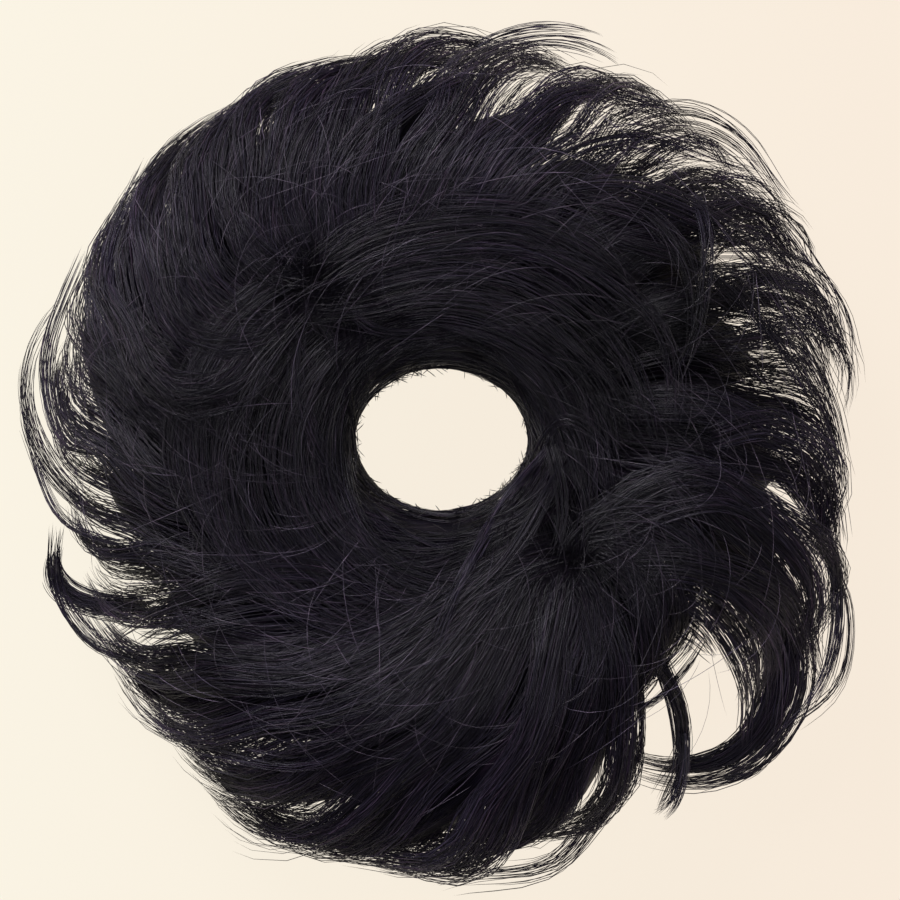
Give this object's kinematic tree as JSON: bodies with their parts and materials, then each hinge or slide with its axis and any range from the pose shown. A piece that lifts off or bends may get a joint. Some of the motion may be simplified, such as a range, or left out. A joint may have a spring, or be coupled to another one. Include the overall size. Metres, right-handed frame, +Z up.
{
  "type": "top knot hairpiece",
  "caption": "Ring-shaped messy bun hairpiece: curved tufts of dark hair swirl outwards from hair wound round a hidden elastic band, with an oval hole in the middle.",
  "frame": {"origin": "middle of the underside of the hairpiece, on the surface it lies on", "axes": "+Z up out of the surface, along the hole; +X to the right and +Y to the top as seen in the picture from above"},
  "size_m": [0.1666, 0.1716, 0.0419],
  "materials": {
    "hair": "fine black-brown synthetic hair with a soft sheen along the strands",
    "elastic": "matt black covered elastic"
  },
  "bodies": {
    "root": {"elastic_band": "elastic", "inner_wrap": "hair", "tuft_01": "hair", "tuft_02": "hair", "tuft_03": "hair", "tuft_04": "hair", "tuft_05": "hair", "tuft_06": "hair", "tuft_07": "hair", "tuft_08": "hair", "tuft_09": "hair", "tuft_10": "hair", "tuft_11": "hair", "tuft_12": "hair", "tuft_13": "hair", "tuft_14": "hair", "tuft_15": "hair", "tuft_16": "hair", "tuft_17": "hair", "tuft_18": "hair"}
  },
  "joints": []
}
